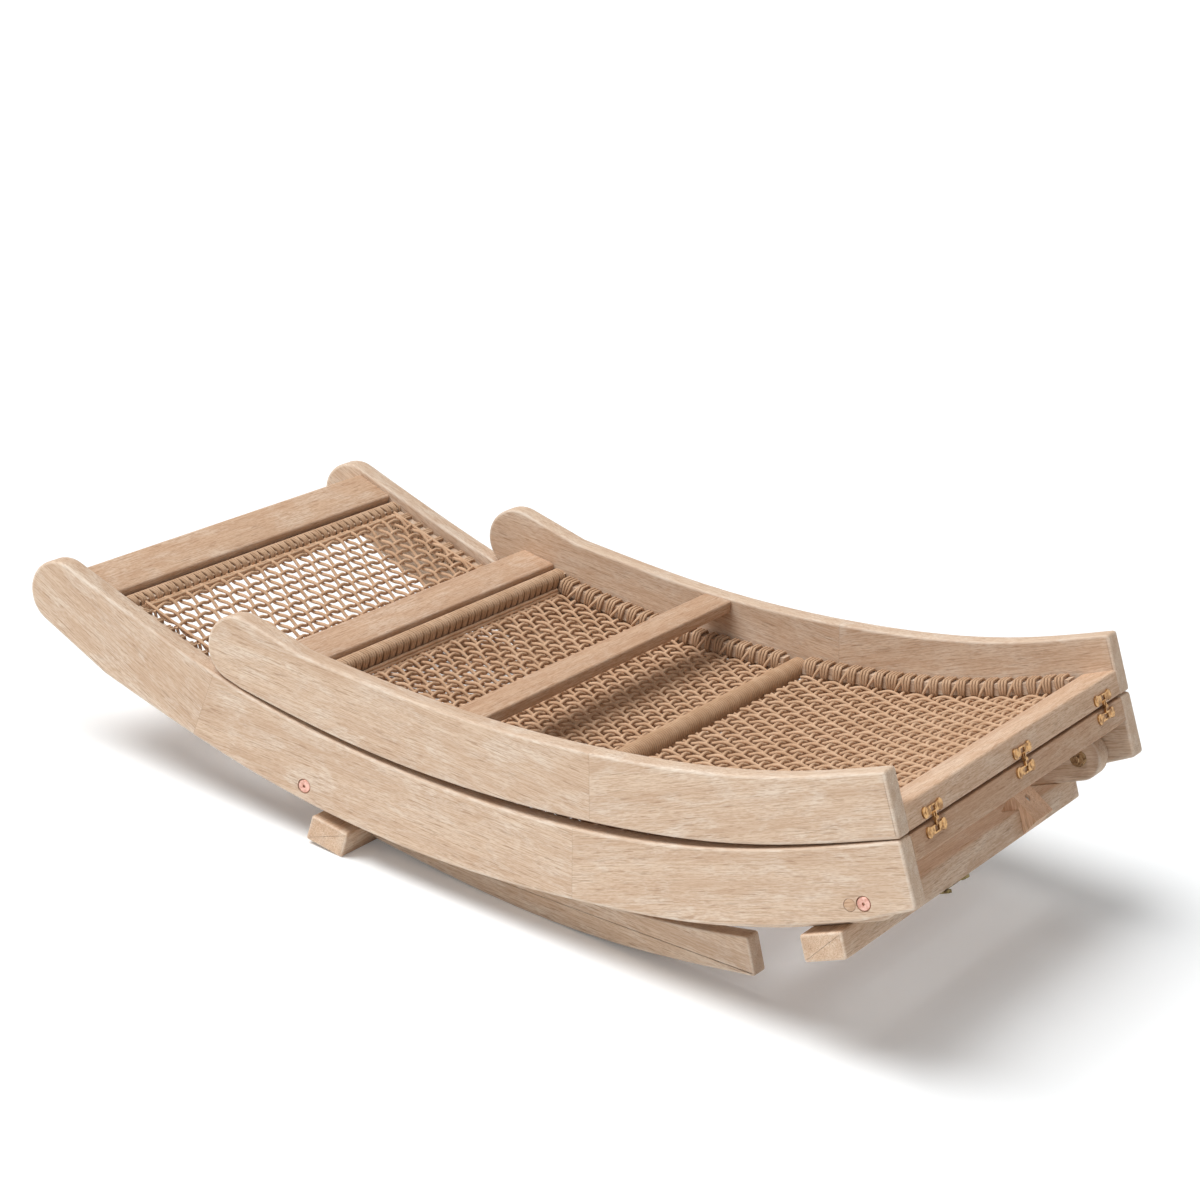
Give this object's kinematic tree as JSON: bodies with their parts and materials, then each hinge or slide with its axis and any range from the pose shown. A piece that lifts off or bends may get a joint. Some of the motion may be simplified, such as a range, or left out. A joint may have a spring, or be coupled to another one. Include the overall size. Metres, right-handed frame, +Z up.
{
  "type": "folding sun lounger",
  "caption": "Curved wooden sun lounger with a rope net bed, a foot half hinged to fold over the back half and swing-out legs, stored folded as a low bundle.",
  "frame": {"origin": "on the floor, under the middle of the folded lounger", "axes": "+X runs along the boards toward the hinged end, +Y runs across the bed to the far side of the picture, +Z is up"},
  "size_m": [1.136, 0.62, 0.3324],
  "materials": {
    "wood": "pale brushed hardwood with a thin white wash",
    "rope": "matte tan cord",
    "brass": "dull aged brass",
    "copper": "satin copper-coloured bolt",
    "steel": "satin steel"
  },
  "bodies": {
    "back_half": {"back_side_board_near": "wood", "back_side_board_far": "wood", "back_end_rail": "wood", "head_slat": "wood", "back_slat_rod": "wood", "back_slat_rod_wrap": "rope", "back_brace": "wood", "back_side_bar_near": "wood", "back_side_bar_far": "wood", "back_side_wrap_near": "rope", "back_side_wrap_far": "rope", "back_net": "rope", "board_plug_near": "wood", "board_plug_far": "wood", "hinge_leaf_back_near": "brass", "hinge_leaf_back_middle": "brass", "hinge_leaf_back_far": "brass", "rear_pivot_bolt_near": "copper", "rear_pivot_bolt_far": "copper", "rear_pivot_spacer_near": "steel", "rear_pivot_spacer_far": "steel", "front_pivot_bolt_near": "copper", "front_pivot_bolt_far": "copper"},
    "foot_half": {"foot_side_board_near": "wood", "foot_side_board_far": "wood", "foot_end_rail": "wood", "foot_slat": "wood", "foot_slat_rod": "wood", "foot_slat_rod_wrap": "rope", "foot_brace": "wood", "foot_round_bar": "wood", "foot_round_bar_winding": "rope", "foot_side_toe_bar_near": "wood", "foot_side_toe_bar_far": "wood", "foot_side_toe_wrap_near": "rope", "foot_side_toe_wrap_far": "rope", "foot_side_knee_bar_near": "wood", "foot_side_knee_bar_far": "wood", "foot_side_knee_wrap_near": "rope", "foot_side_knee_wrap_far": "rope", "foot_net_toe": "rope", "foot_net_knee": "rope", "hinge_leaf_foot_near": "brass", "hinge_leaf_foot_middle": "brass", "hinge_leaf_foot_far": "brass"},
    "rear_legs": {"rear_leg_near": "wood", "rear_leg_far": "wood", "rear_stop_bar": "wood", "rear_leg_stretcher": "wood"},
    "front_legs": {"front_leg_near": "wood", "front_leg_far": "wood", "front_stop_bar": "wood", "front_leg_stretcher": "wood", "stop_block": "wood", "stop_block_screw": "steel", "hook_screw": "brass"},
    "hook": {"hook": "brass"}
  },
  "joints": [
    {"name": "foot_hinge", "type": "hinge", "parent": "back_half", "child": "foot_half", "pos_m": [0.53794, 0, 0.27085], "axis": [0, 1, 0], "range_deg": [0, 180]},
    {"name": "rear_leg_pivot", "type": "hinge", "parent": "back_half", "child": "rear_legs", "pos_m": [-0.16346, 0, 0.06386], "axis": [0, 1, 0], "range_deg": [0, 91.5]},
    {"name": "front_leg_pivot", "type": "hinge", "parent": "back_half", "child": "front_legs", "pos_m": [0.51233, 0, 0.18826], "axis": [0, -1, 0], "range_deg": [0, 103]},
    {"name": "hook_swing", "type": "hinge", "parent": "front_legs", "child": "hook", "pos_m": [0.49894, -0.004, 0.11806], "axis": [0.4368, 0, -0.8996], "range_deg": [0, 90]}
  ]
}
